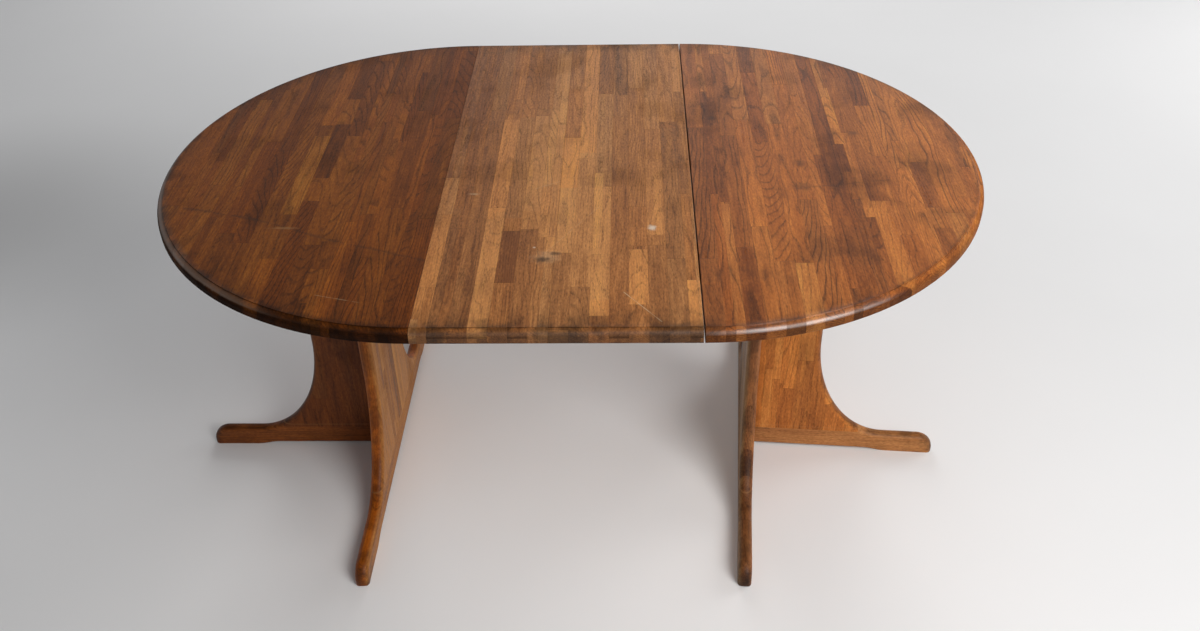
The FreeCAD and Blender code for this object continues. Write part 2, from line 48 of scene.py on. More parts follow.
print("frame:", len(nodes), "nodes, size", [round(x, 3) for x in cad_high - cad_low])

# %% [markdown]
# ## The camera
# The photograph looks down on the table from the front, a little right of its middle. A camera can be placed
# by eye, but a table with a known height and round ends lets us work it out: where it stands, which way it
# turns, and how long its lens is. The three turns are given in the order that a photographer would use:
# swing left or right, then tilt down, then level the horizon.

# %% Place the camera
camera_place = Vector((0.1406, -1.9507, 1.8204))
camera_swing = -0.0324
camera_tilt = 0.6428
camera_level = -0.0233
camera_lens = 34.18
sensor_width = 36.0

ahead = Vector((
    math.sin(camera_swing) * math.cos(camera_tilt),
    math.cos(camera_swing) * math.cos(camera_tilt),
    -math.sin(camera_tilt),
))
across = Vector((math.cos(camera_swing), -math.sin(camera_swing), 0.0))
upward = across.cross(ahead)
level_across = across * math.cos(camera_level) + upward * math.sin(camera_level)
level_upward = upward * math.cos(camera_level) - across * math.sin(camera_level)
turn = Matrix((level_across, level_upward, -ahead)).transposed().to_4x4()

camera_data = bpy.data.cameras.new("photo_camera")
camera_data.sensor_width = sensor_width
camera_data.lens = camera_lens
camera = bpy.data.objects.new("photo_camera", camera_data)
camera.matrix_world = Matrix.Translation(camera_place) @ turn
bpy.context.scene.collection.objects.link(camera)
bpy.context.scene.camera = camera
bpy.context.scene.view_settings.view_transform = "Standard"
print("camera at", [round(x, 3) for x in camera_place], "lens", camera_lens)

# %% [markdown]
# ## Small tools for node trees
# A procedural material is a chain of small sums. Wiring each by hand takes many lines, so these helpers add
# a node, feed it with either a link or a plain number, and hand back its result.

# %% Tools: nodes and sums
def add_node(tree, kind, **settings):
    node = tree.nodes.new(kind)
    for name, value in settings.items():
        setattr(node, name, value)
    return node


def feed(tree, socket, source):
    """Links a socket to a source, or writes a plain value into it."""
    if isinstance(source, bpy.types.NodeSocket):
        tree.links.new(source, socket)
    else:
        socket.default_value = source


def calc(tree, operation, *sources):
    node = add_node(tree, "ShaderNodeMath", operation=operation)
    for socket, source in zip(node.inputs, sources):
        feed(tree, socket, source)
    return node.outputs[0]


def vector_calc(tree, operation, *sources):
    node = add_node(tree, "ShaderNodeVectorMath", operation=operation)
    for socket, source in zip(node.inputs, sources):
        feed(tree, socket, source)
    return node.outputs["Value"] if operation in ("LENGTH", "DOT_PRODUCT", "DISTANCE") else node.outputs[0]


def ease(tree, value, start, end, first=0.0, last=1.0):
    """Soft change from first to last while value goes from start to end."""
    node = add_node(tree, "ShaderNodeMapRange", interpolation_type="SMOOTHSTEP")
    for socket, source in zip(node.inputs, (value, start, end, first, last)):
        feed(tree, socket, source)
    return node.outputs[0]


def mix_colour(tree, mode, amount, under, over):
    node = add_node(tree, "ShaderNodeMix", data_type="RGBA", blend_type=mode)
    for index, source in ((0, amount), (6, under), (7, over)):
        feed(tree, node.inputs[index], source)
    return node.outputs[2]


def mix_value(tree, amount, under, over):
    node = add_node(tree, "ShaderNodeMix", data_type="FLOAT")
    for index, source in ((0, amount), (2, under), (3, over)):
        feed(tree, node.inputs[index], source)
    return node.outputs[0]


print("node tools ready")

# %% Tools: noise, axes and groups
def noise(tree, vector, stretch, detail=2.0):
    """Cloudy noise from 0 to 1; stretch is how many clouds fit in a metre along each axis."""
    stretched = vector_calc(tree, "MULTIPLY", vector, stretch)
    node = add_node(tree, "ShaderNodeTexNoise", noise_dimensions="3D")
    feed(tree, node.inputs["Vector"], stretched)
    node.inputs["Scale"].default_value = 1.0
    node.inputs["Detail"].default_value = detail
    return node.outputs[0]


def around_zero(tree, value):
    return calc(tree, "SUBTRACT", value, 0.5)


def random_number(tree, value):
    """One number from 0 to 1 for each value."""
    node = add_node(tree, "ShaderNodeTexWhiteNoise", noise_dimensions="1D")
    feed(tree, node.inputs["W"], value)
    return node.outputs["Value"]


def axes_of(tree, vector):
    node = add_node(tree, "ShaderNodeSeparateXYZ")
    feed(tree, node.inputs[0], vector)
    return node.outputs[0], node.outputs[1], node.outputs[2]


def vector_from(tree, x, y, z):
    node = add_node(tree, "ShaderNodeCombineXYZ")
    for socket, source in zip(node.inputs, (x, y, z)):
        feed(tree, socket, source)
    return node.outputs[0]


def parts_of(tree, colour):
    node = add_node(tree, "ShaderNodeSeparateColor")
    feed(tree, node.inputs[0], colour)
    return node.outputs[0], node.outputs[1], node.outputs[2]


def new_group(name, inputs, outputs):
    """An empty node group with named sockets; gives the group, its inputs and its outputs."""
    group = bpy.data.node_groups.new(name, "ShaderNodeTree")
    for label, kind in inputs:
        group.interface.new_socket(name=label, in_out="INPUT", socket_type="NodeSocket" + kind)
    for label, kind in outputs:
        group.interface.new_socket(name=label, in_out="OUTPUT", socket_type="NodeSocket" + kind)
    entry = add_node(group, "NodeGroupInput")
    result = add_node(group, "NodeGroupOutput")
    return group, entry.outputs, result.inputs


def use_group(tree, group, **sources):
    """Places a group in a tree; a keyword such as stave_width feeds the input Stave Width."""
    node = add_node(tree, "ShaderNodeGroup", node_tree=group)
    for name, source in sources.items():
        feed(tree, node.inputs[name.replace("_", " ").title()], source)
    return node.outputs


print("noise, axes and group tools ready")

# %% [markdown]
# ## Staves
# Every board of this table is glued up from narrow strips, and each strip from staves of uneven length,
# butted end to end. The group below cuts a board into columns, shifts each column by its own amount, and
# cuts it into staves where a one-dimensional Voronoi cell ends. Some columns are two strips of half the
# width. Each stave gets three random numbers: its shade, its warmth and the number of its grain. A picture
# would be easier, but would not reach round the edges.

# %% Group: staves
stave_group, given, result = new_group(
    "staves",
    [("Board", "Vector"), ("Stave Width", "Float"), ("Stave Length", "Float"), ("Seed", "Float")],
    [("Stave", "Color"), ("Side Joint", "Float"), ("End Joint", "Float")],
)
tree = stave_group
side_joint_width = (0.0001, 0.0006)
end_joint_width = (0.0002, 0.0009)
stave_unevenness = 0.7
column_shift = 57.0
split_share = 0.28

x, y, _ = axes_of(tree, given["Board"])
columns = calc(tree, "DIVIDE", x, given["Stave Width"])
column = calc(tree, "ADD", calc(tree, "FLOOR", columns), given["Seed"])
part = calc(tree, "FRACT", columns)
split = calc(tree, "LESS_THAN", random_number(tree, column), split_share)
twice = calc(tree, "MULTIPLY", part, 2.0)
half_step = calc(tree, "MULTIPLY", calc(tree, "FLOOR", twice), 0.5)
column = calc(tree, "MULTIPLY_ADD", half_step, split, column)
part = mix_value(tree, split, part, calc(tree, "FRACT", twice))
narrowing = calc(tree, "MULTIPLY_ADD", split, -0.5, 1.0)
strip_width = calc(tree, "MULTIPLY", given["Stave Width"], narrowing)
along = calc(tree, "DIVIDE", y, given["Stave Length"])
along = calc(tree, "MULTIPLY_ADD", random_number(tree, column), column_shift, along)
cells = {}
for feature in ("F1", "DISTANCE_TO_EDGE"):
    cell = add_node(tree, "ShaderNodeTexVoronoi", voronoi_dimensions="1D", feature=feature)
    feed(tree, cell.inputs["W"], along)
    cell.inputs["Scale"].default_value = 1.0
    cell.inputs["Randomness"].default_value = stave_unevenness
    cells[feature] = cell
stave_place = vector_from(tree, column, cells["F1"].outputs["W"], 0.0)
stave_noise = add_node(tree, "ShaderNodeTexWhiteNoise", noise_dimensions="2D")
feed(tree, stave_noise.inputs["Vector"], stave_place)
feed(tree, result["Stave"], stave_noise.outputs["Color"])
edge = calc(tree, "MINIMUM", part, calc(tree, "SUBTRACT", 1.0, part))
edge = calc(tree, "MULTIPLY", edge, strip_width)
feed(tree, result["Side Joint"], ease(tree, edge, *side_joint_width, 1.0, 0.0))
edge = calc(tree, "MULTIPLY", cells["DISTANCE_TO_EDGE"].outputs["Distance"], given["Stave Length"])
feed(tree, result["End Joint"], ease(tree, edge, *end_joint_width, 1.0, 0.0))
print("group staves:", len(stave_group.nodes), "nodes")

# %% [markdown]
# ## Chosen staves
# Chance gives a likely board, not this one. A few staves catch the eye on the real top, such as a nearly
# black one near the middle of the leaf. This group masks one stave by its two corners, so that its shade can
# be given in a list, and draws its butt joints.

# %% Group: one chosen stave
chosen_group, given, result = new_group(
    "chosen_stave",
    [("Board", "Vector"), ("Low", "Vector"), ("High", "Vector")],
    [("Mask", "Float"), ("End Joint", "Float")],
)
tree = chosen_group
halved = (0.5, 0.5, 0.5)
centre = vector_calc(tree, "ADD", given["Low"], given["High"])
centre = vector_calc(tree, "MULTIPLY", centre, halved)
half = vector_calc(tree, "SUBTRACT", given["High"], centre)
away = vector_calc(tree, "SUBTRACT", given["Board"], centre)
away = vector_calc(tree, "ABSOLUTE", away)
x, y, _ = axes_of(tree, vector_calc(tree, "SUBTRACT", half, away))
mask = calc(tree, "GREATER_THAN", calc(tree, "MINIMUM", x, y), 0.0)
feed(tree, result["Mask"], mask)
end_line = ease(tree, y, *end_joint_width, 1.0, 0.0)
feed(tree, result["End Joint"], calc(tree, "MULTIPLY", mask, end_line))
print("group chosen_stave:", len(chosen_group.nodes), "nodes")

# %% [markdown]
# ## Oak grain
# A stave is a slice out of a tree. Its rings are cylinders round the tree's middle, and a stave cut a little
# aslant shows them as arches, which sawyers call cathedrals. So the group measures each point's distance
# from a tree axis that lies beside the stave, at a place and slant of its own, and repeats a band for every
# ring. The start of a ring is full of open pores, which hold the stain as short dark dashes. Flecks are the
# tree's rays, cut across. Being solid, the pattern runs on over rims and shows end grain at the ends.

# %% Group: oak grain
grain_group, given, result = new_group(
    "oak_grain",
    [("Board", "Vector"), ("Number", "Float"), ("Stave Width", "Float"), ("Ring Width", "Float"),
     ("Slant", "Float")],
    [("Ring", "Float"), ("Pore", "Float"), ("Fibre", "Float"), ("Fleck", "Float"), ("Streak", "Float")],
)
tree = grain_group
axis_side = 0.075
axis_near = 0.026
axis_far = 0.055
wander_stretch = (16.0, 4.5, 16.0)
wander_reach = 0.015
wobble_stretch = (70.0, 12.0, 70.0)
wobble_reach = 0.0011
pore_stretch = (700.0, 110.0, 700.0)
fibre_stretch = (300.0, 18.0, 300.0)
fleck_stretch = (330.0, 130.0, 330.0)
streak_stretch = (70.0, 4.5, 70.0)
ring_boldness = (0.25, 1.3)
late_wood = (0.02, 0.30)
early_wood = (0.90, 1.0)
pore_range = (0.48, 0.62)
pores_between_rings = 0.35
straightness = 2.0
fine_detail = 3.0
grain_number_scale = 913.7
noise_shift = 31.0

x, y, z = axes_of(tree, given["Board"])
dice_number = calc(tree, "MULTIPLY", given["Number"], grain_number_scale)
dice = add_node(tree, "ShaderNodeTexWhiteNoise", noise_dimensions="1D")
feed(tree, dice.inputs["W"], dice_number)
side_dice, depth_dice, slant_dice = parts_of(tree, dice.outputs["Color"])
shift = calc(tree, "MULTIPLY", given["Number"], noise_shift)
shifted = vector_calc(tree, "ADD", given["Board"], vector_from(tree, shift, shift, shift))

part = calc(tree, "FRACT", calc(tree, "DIVIDE", x, given["Stave Width"]))
local = calc(tree, "MULTIPLY", around_zero(tree, part), given["Stave Width"])
aside = calc(tree, "MULTIPLY_ADD", around_zero(tree, side_dice), axis_side, local)
depth = calc(tree, "ADD", calc(tree, "MULTIPLY_ADD", depth_dice, axis_far, axis_near), z)
either_way = calc(tree, "MULTIPLY_ADD", slant_dice, 2.0, -1.0)
mostly_straight = calc(tree, "POWER", calc(tree, "ABSOLUTE", either_way), straightness)
slant = calc(tree, "MULTIPLY", either_way, mostly_straight)
slant = calc(tree, "MULTIPLY", slant, given["Slant"])
depth = calc(tree, "MULTIPLY_ADD", y, slant, depth)
reach = vector_calc(tree, "LENGTH", vector_from(tree, aside, 0.0, depth))
cloud = around_zero(tree, noise(tree, shifted, wander_stretch))
reach = calc(tree, "MULTIPLY_ADD", cloud, wander_reach, reach)
cloud = around_zero(tree, noise(tree, shifted, wobble_stretch))
reach = calc(tree, "MULTIPLY_ADD", cloud, wobble_reach, reach)
phase = calc(tree, "FRACT", calc(tree, "DIVIDE", reach, given["Ring Width"]))
late = ease(tree, phase, *late_wood, 1.0, 0.0)
early = ease(tree, phase, *early_wood)
ring = calc(tree, "MAXIMUM", late, early)
bold = calc(tree, "MULTIPLY_ADD", dice.outputs["Value"], ring_boldness[1], ring_boldness[0])
feed(tree, result["Ring"], calc(tree, "MULTIPLY", ring, bold))
pore = ease(tree, noise(tree, shifted, pore_stretch), *pore_range)
crowding = calc(tree, "MULTIPLY_ADD", ring, 1.0 - pores_between_rings, pores_between_rings)
feed(tree, result["Pore"], calc(tree, "MULTIPLY", pore, crowding))
for label, stretch in (("Fibre", fibre_stretch), ("Fleck", fleck_stretch), ("Streak", streak_stretch)):
    feed(tree, result[label], noise(tree, shifted, stretch, fine_detail))
print("group oak_grain:", len(grain_group.nodes), "nodes")

# %% [markdown]
# ## The rim's place
# Dirt and polish gather along the outer edge of the top, so the finish has to know how far a point lies
# from it. The outline is a stadium: a rectangle with a half circle at each end. Its distance is a short sum,
# which serves both half tops and the leaf.

# %% Group: distance from the rim
rim_group, given, result = new_group("rim_distance", [("Position", "Vector")], [("Inside", "Float")])
tree = rim_group
left_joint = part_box("left_top")[1].x
right_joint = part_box("right_top")[0].x
end_radius = (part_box("right_top")[1].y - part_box("right_top")[0].y) / 2
top_middle = (left_joint + right_joint) / 2
straight_reach = (right_joint - left_joint) / 2

x, y, _ = axes_of(tree, given["Position"])
beyond = calc(tree, "ABSOLUTE", calc(tree, "SUBTRACT", x, top_middle))
beyond = calc(tree, "MAXIMUM", calc(tree, "SUBTRACT", beyond, straight_reach), 0.0)
out = vector_calc(tree, "LENGTH", vector_from(tree, beyond, y, 0.0))
feed(tree, result["Inside"], calc(tree, "SUBTRACT", end_radius, out))
print("rim: radius", round(end_radius, 4), "m, straight part", round(2 * straight_reach, 4), "m")

# %% [markdown]
# ## Marks of use
# The real top carries a few marks: pale scratches, light spots, and knots. A scratch is the distance from a
# line between two points; a spot is the distance from one point. Both are roughened by noise, so that they
# look worn rather than drawn. A spot with no core and no roughness also serves as a soft haze. The rounded
# edges of the legs are darker where the surface turns away from a board's face.

# %% Group: scratch
scratch_group, given, result = new_group(
    "scratch",
    [("Position", "Vector"), ("Start", "Vector"), ("End", "Vector"), ("Width", "Float")],
    [("Mask", "Float")],
)
tree = scratch_group
scratch_noise = (60.0, 60.0, 60.0)
scratch_breaks = (0.3, 0.6)
run = vector_calc(tree, "SUBTRACT", given["End"], given["Start"])
from_start = vector_calc(tree, "SUBTRACT", given["Position"], given["Start"])
along_run = vector_calc(tree, "DOT_PRODUCT", from_start, run)
whole_run = vector_calc(tree, "DOT_PRODUCT", run, run)
share = calc(tree, "DIVIDE", along_run, whole_run)
share = calc(tree, "MINIMUM", calc(tree, "MAXIMUM", share, 0.0), 1.0)
nearest = vector_calc(tree, "MULTIPLY", run, vector_from(tree, share, share, share))
away = vector_calc(tree, "DISTANCE", from_start, nearest)
breaks = noise(tree, given["Position"], scratch_noise, fine_detail)
reach = calc(tree, "MULTIPLY", given["Width"], ease(tree, breaks, *scratch_breaks))
feed(tree, result["Mask"], ease(tree, away, 0.0, reach, 1.0, 0.0))
print("group scratch:", len(scratch_group.nodes), "nodes")

# %% Group: edge
edge_group, given, result = new_group(
    "darker_edge",
    [("Position", "Vector"), ("Normal", "Vector"), ("Through", "Vector")],
    [("Mask", "Float")],
)
tree = edge_group
edge_noise = (26.0, 26.0, 26.0)
edge_turn = (0.40, 0.97)
edge_patches = (0.36, 0.60)
least_edge_darkness = 0.3
cloud_detail = 4.0
facing = vector_calc(tree, "DOT_PRODUCT", given["Normal"], given["Through"])
off_face = ease(tree, calc(tree, "ABSOLUTE", facing), *edge_turn, 1.0, 0.0)
cloud = noise(tree, given["Position"], edge_noise, cloud_detail)
patchy = ease(tree, cloud, *edge_patches, least_edge_darkness, 1.0)
feed(tree, result["Mask"], calc(tree, "MULTIPLY", off_face, patchy))
print("group darker_edge:", len(edge_group.nodes), "nodes")

# %% Group: spot
spot_group, given, result = new_group(
    "spot",
    [("Position", "Vector"), ("Centre", "Vector"), ("Size", "Vector"), ("Core", "Float"),
     ("Unevenness", "Float")],
    [("Mask", "Float")],
)
tree = spot_group
spot_noise = (130.0, 130.0, 130.0)
worn_spot = {"core": 0.2, "unevenness": 0.9}
soft_spot = {"core": 0.0, "unevenness": 0.0}
offset = vector_calc(tree, "SUBTRACT", given["Position"], given["Centre"])
offset = vector_calc(tree, "DIVIDE", offset, given["Size"])
uneven = around_zero(tree, noise(tree, given["Position"], spot_noise, fine_detail))
away = vector_calc(tree, "LENGTH", offset)
away = calc(tree, "MULTIPLY_ADD", uneven, given["Unevenness"], away)
feed(tree, result["Mask"], ease(tree, away, given["Core"], 1.0, 1.0, 0.0))
print("group spot:", len(spot_group.nodes), "nodes")

# %% [markdown]
# ## The oak finish
# One function builds every oak material. It turns the piece's own coordinates into board coordinates, with
# X across the staves, Y along the grain and Z through the board, then lays staves, grain, stain and wear
# over each other. The stain is a colour ramp from the darkest stave to the palest. End grain drinks more
# of it than a board's face, and some staves are thirstier than others.

# %% Tools: boards, stain and new materials
def board_mapping(tree, position, origin, across_axis, grain_axis):
    """Board coordinates of a piece: X across the staves, Y along the grain, Z through the thickness."""
    through = Vector(across_axis).cross(Vector(grain_axis))
    turned = Matrix((across_axis, grain_axis, through)).transposed()
    node = add_node(tree, "ShaderNodeMapping", vector_type="TEXTURE")
    feed(tree, node.inputs["Vector"], position)
    node.inputs["Location"].default_value = origin
    node.inputs["Rotation"].default_value = turned.to_euler()
    return node.outputs[0]


def stain_ramp(tree, amount, tones):
    """A colour ramp with its tones spread evenly."""
    node = add_node(tree, "ShaderNodeValToRGB")
    stops = node.color_ramp.elements
    while len(stops) < len(tones):
        stops.new(0.5)
    for index, tone in enumerate(tones):
        stops[index].position = index / (len(tones) - 1)
        stops[index].color = (*tone, 1.0)
    feed(tree, node.inputs[0], amount)
    return node.outputs[0]


def shade_by(tree, colour, amount, strength):
    """The colour made darker by strength where amount is 1."""
    factor = calc(tree, "MULTIPLY_ADD", amount, -strength, 1.0)
    return mix_colour(tree, "MULTIPLY", 1.0, colour, vector_from(tree, factor, factor, factor))


def new_material(name):
    material = bpy.data.materials.new(name)
    material.use_nodes = True
    tree = material.node_tree
    shader = tree.nodes["Principled BSDF"]
    place = add_node(tree, "ShaderNodeTexCoord").outputs["Object"]
    return material, tree, shader, place


print("oak tools ready")

# %% Finish: staves and stain
fibre_strength = 0.70
fleck_strength = 0.70


def lay_staves(tree, board, look, chosen):
    """Cuts a board into staves and sets the chosen ones to given shades; gives what the finish needs of
    them.
    """
    cut = use_group(tree, stave_group, board=board, stave_width=look["width"],
                    stave_length=look["length"], seed=look["seed"])
    shade, warmth, number = parts_of(tree, cut["Stave"])
    shade = calc(tree, "MULTIPLY_ADD", around_zero(tree, shade), look["spread"], look["middle"])
    traits = vector_from(tree, shade, number, cut["End Joint"])
    for index, (first, last, near, far, tone) in enumerate(chosen):
        one = use_group(tree, chosen_group, board=board, low=(first, near, 0.0), high=(last, far, 0.0))
        own_traits = vector_from(tree, tone, index / len(chosen), one["End Joint"])
        traits = mix_colour(tree, "MIX", one["Mask"], traits, own_traits)
    shade, number, end_joint = axes_of(tree, traits)
    return {"shade": shade, "warmth": warmth, "number": number, "side_joint": cut["Side Joint"],
            "end_joint": end_joint}


def stain_amount(tree, place, shade, grain, look):
    """How far up the stain ramp a point lies: its stave's shade, hazes, streaks, fibres and flecks."""
    for centre, size, lift in look.get("haze", ()):
        soft = use_group(tree, spot_group, position=place, centre=centre, size=size, **soft_spot)
        shade = calc(tree, "MULTIPLY_ADD", soft["Mask"], lift, shade)
    strengths = (("Streak", look["streak"]), ("Fibre", fibre_strength), ("Fleck", fleck_strength))
    for label, strength in strengths:
        shade = calc(tree, "MULTIPLY_ADD", around_zero(tree, grain[label]), strength, shade)
    return shade


print("staves and stain ready")

# %% Finish: oak
side_joint_depth = 0.14
end_joint_depth = 0.30
pore_depth = 0.40
pore_hollow = 0.6
end_grain_range = (0.35, 0.95)
least_thirst = 0.10
smudge_stretch = (8.0, 8.0, 8.0)
smudge_detail = 5.0
smudge_range = (0.48, 0.70)
cool_tint = (0.95, 1.0, 1.06, 1.0)
warm_tint = (1.05, 0.99, 0.88, 1.0)


def oak_finish(name, origin, across_axis, grain_axis, look, chosen=()):
    """An oak material. chosen holds single staves: two edges across, two ends along, and a shade."""
    material, tree, shader, place = new_material(name)
    board = board_mapping(tree, place, origin, across_axis, grain_axis)
    staves = lay_staves(tree, board, look, chosen)
    grain = use_group(tree, grain_group, board=board, number=staves["number"], stave_width=look["width"],
                      ring_width=look["ring_width"], slant=look["slant"])
    amount = stain_amount(tree, place, staves["shade"], grain, look)
    colour = stain_ramp(tree, amount, look["tones"])
    tint = mix_colour(tree, "MIX", staves["warmth"], cool_tint, warm_tint)
    colour = mix_colour(tree, "MULTIPLY", 1.0, colour, tint)
    colour = shade_by(tree, colour, grain["Ring"], look["ring_depth"])
    colour = shade_by(tree, colour, grain["Pore"], pore_depth)
    colour = shade_by(tree, colour, staves["side_joint"], side_joint_depth)
    colour = shade_by(tree, colour, staves["end_joint"], end_joint_depth)
    normal = add_node(tree, "ShaderNodeTexCoord").outputs["Normal"]
    facing = vector_calc(tree, "DOT_PRODUCT", normal, grain_axis)
    end_grain = ease(tree, calc(tree, "ABSOLUTE", facing), *end_grain_range)
    thirst = ease(tree, random_number(tree, staves["number"]), *look["thirst"], least_thirst, 1.0)
    colour = shade_by(tree, colour, calc(tree, "MULTIPLY", end_grain, thirst), look["end_grain"])
    smudge = ease(tree, noise(tree, place, smudge_stretch, smudge_detail), *smudge_range)
    colour = shade_by(tree, colour, smudge, look["smudge"])
    joint = calc(tree, "MAXIMUM", staves["side_joint"], staves["end_joint"])
    hollow = calc(tree, "MAXIMUM", calc(tree, "MULTIPLY", grain["Pore"], pore_hollow), joint)
    return {"material": material, "tree": tree, "shader": shader, "place": place, "board": board,
            "colour": colour, "amount": amount, "hollow": hollow, "smudge": smudge, "thirst": thirst,
            "streak": grain["Streak"], "roughness": look["roughness"], "specular": look["specular"],
            "polish": None}


print("oak finish ready")

# %% [markdown]
# The last step joins all of it to the shader. A material's specular level has to be one number, so the part
# of the shine that hands can wear off lies in the coat, whose weight follows a mask.

# %% Finish: closing an oak material
polish_change = 0.25
hollow_dullness = 0.25
smudge_dullness = 0.12
relief_depth = 0.0004
relief_strength = 0.35
coat_roughness = 0.40
coat_density = 2.0
varnish_weight = 0.85
rim_dullness = 0.35


def close_oak(oak):
    """Joins colour, shine and the fine relief of pores and joints to the shader."""
    tree, shader = oak["tree"], oak["shader"]
    feed(tree, shader.inputs["Base Color"], oak["colour"])
    rough = calc(tree, "MULTIPLY_ADD", around_zero(tree, oak["streak"]), polish_change, oak["roughness"])
    rough = calc(tree, "MULTIPLY_ADD", oak["hollow"], hollow_dullness, rough)
    rough = calc(tree, "MULTIPLY_ADD", oak["smudge"], smudge_dullness, rough)
    shader.inputs["Specular IOR Level"].default_value = oak["specular"]
    if oak["polish"] is not None:
        varnish = oak["specular"] * oak["worn_off"]
        shader.inputs["Specular IOR Level"].default_value = oak["specular"] - varnish
        full = varnish * varnish_weight
        film = calc(tree, "MULTIPLY_ADD", oak["rim"], -full, full)
        feed(tree, shader.inputs["Coat Weight"], calc(tree, "ADD", film, oak["polish"]))
        shader.inputs["Coat Roughness"].default_value = coat_roughness
        shader.inputs["Coat IOR"].default_value = coat_density
        rough = calc(tree, "MULTIPLY_ADD", oak["rim"], rim_dullness, rough)
    feed(tree, shader.inputs["Roughness"], rough)
    relief = add_node(tree, "ShaderNodeBump", invert=True)
    relief.inputs["Strength"].default_value = relief_strength
    relief.inputs["Distance"].default_value = relief_depth
    feed(tree, relief.inputs["Height"], oak["hollow"])
    feed(tree, shader.inputs["Normal"], relief.outputs[0])
    return oak["material"]


def dress(material, *names):
    for name in names:
        mesh = nodes[name].data
        mesh.materials.clear()
        mesh.materials.append(material)


print("closing tools ready")

# %% [markdown]
# ## The three boards of the top
# All three have staves across the table, about 32 mm wide. They have aged apart: the left half is the
# darkest and reddest, the leaf has been stored away from the light and is paler, and the right half is in
# between, with bolder grain. Every board gets its own stain ramp, from its darkest stave to its palest. A
# haze is a wide soft patch that lifts or lowers the shade.

# %% Looks: tops and leaf
top_height = cad_high.z


def on_top(x, y):
    """A point on the top face, measured from the middle of the top."""
    return (top_middle + x, y, top_height)


top_look = {"width": 0.0318, "length": 0.42, "middle": 0.42, "spread": 0.42, "streak": 0.65, "smudge": 0.22,
            "end_grain": 0.50, "thirst": (0.0, 0.35)}
left_look = {
    **top_look, "seed": 3.0, "ring_width": 0.0035, "slant": 0.10, "ring_depth": 0.30, "roughness": 0.33,
    "specular": 0.28,
    "tones": [(0.100, 0.025, 0.003), (0.192, 0.050, 0.006), (0.300, 0.088, 0.010), (0.46, 0.162, 0.022)],
    "haze": [(on_top(-0.30, -0.46), (0.30, 0.20, 1.0), -0.10)],
}
leaf_look = {
    **top_look, "seed": 5.0, "ring_width": 0.0032, "slant": 0.08, "ring_depth": 0.17, "roughness": 0.38,
    "specular": 0.38, "smudge": 0.20, "thirst": (0.15, 0.55),
    "tones": [(0.21, 0.072, 0.021), (0.405, 0.156, 0.045), (0.61, 0.258, 0.080), (0.77, 0.345, 0.092)],
    "haze": [
        (on_top(0.00, 0.05), (0.15, 0.42, 1.0), 0.10),
        (on_top(-0.23, 0.20), (0.12, 0.60, 1.0), -0.16),
    ],
}
right_look = {
    **top_look, "seed": 11.0, "ring_width": 0.0036, "slant": 0.12, "ring_depth": 0.36, "roughness": 0.32,
    "specular": 0.50, "smudge": 0.40, "middle": 0.37, "spread": 0.56, "thirst": (0.50, 0.75),
    "tones": [(0.20, 0.053, 0.011), (0.375, 0.112, 0.023), (0.56, 0.188, 0.040), (0.75, 0.300, 0.060)],
    "haze": [
        (on_top(0.50, -0.02), (0.11, 0.30, 1.0), -0.14),
        (on_top(0.33, -0.30), (0.10, 0.22, 1.0), 0.08),
    ],
}
print("looks of three boards ready")

# %% [markdown]
# The staves below are the ones that stand out on the real top. They are measured along each board from its
# own glue line: the leaf's from its fold, each half's from its joint.

# %% Staves listed one by one
black, dark, umber, brown, tan, pale, amber = 0.0, 0.20, 0.27, 0.34, 0.54, 0.64, 0.78
front_end = -end_radius
back_end = end_radius


def column(width, index, near, far, tone, columns=1.0):
    """A stave in a numbered column."""
    return (index * width, (index + columns) * width, near, far, tone)


leaf_staves = [column(leaf_look["width"], *stave) for stave in (
    (-7, -0.430, -0.072, tan),
    (-7, -0.072, back_end, umber),
    (-6, -0.250, back_end, dark),
    (-6, front_end, -0.250, dark),
    (-5, front_end, 0.160, dark),
    (-4, -0.182, 0.165, tan),
    (-4, front_end, -0.182, pale),
    (-3, -0.418, -0.260, black),
    (-3, -0.260, back_end, brown),
    (-2, -0.255, 0.180, tan),
    (-2, front_end, -0.255, dark),
    (-1, -0.280, -0.100, tan),
    (0, -0.330, 0.085, pale),
    (0, 0.085, back_end, brown),
    (1, 0.0, back_end, pale),
    (2, -0.335, -0.058, amber, 0.5),
    (2, -0.510, -0.335, pale),
    (3, front_end, 0.178, umber),
    (4, -0.480, -0.320, pale),
    (4, -0.310, -0.248, brown),
    (5, -0.275, -0.005, tan),
    (6, -0.040, 0.150, dark),
    (7, front_end, -0.412, pale),
)]
right_staves = [column(right_look["width"], *stave) for stave in (
    (8, -0.380, back_end, dark),
    (9, 0.050, 0.300, amber, 0.6),
    (10, -0.430, -0.165, pale),
    (11, 0.0, 0.215, tan),
    (13, -0.260, -0.190, tan),
)]
left_staves = [column(left_look["width"], *stave) for stave in (
    (-9, -0.200, 0.100, amber),
    (-8, -0.070, 0.150, dark),
    (-6, -0.375, -0.290, brown),
    (-4, -0.200, 0.230, pale, 0.5),
)]
print("set by hand:", len(leaf_staves), "staves of the leaf,",
      len(right_staves) + len(left_staves), "of the halves")

# %% [markdown]
# Marks come next. They are given where they lie, measured from the middle of the top: where each starts and
# ends or how large it is, what colour shows, and how strongly.

# %% Marks on the tops
bare_wood = (0.62, 0.46, 0.28, 1.0)
worn_gold = (0.36, 0.18, 0.07, 1.0)
chalk = (0.80, 0.74, 0.62, 1.0)
knot_brown = (0.035, 0.016, 0.008, 1.0)

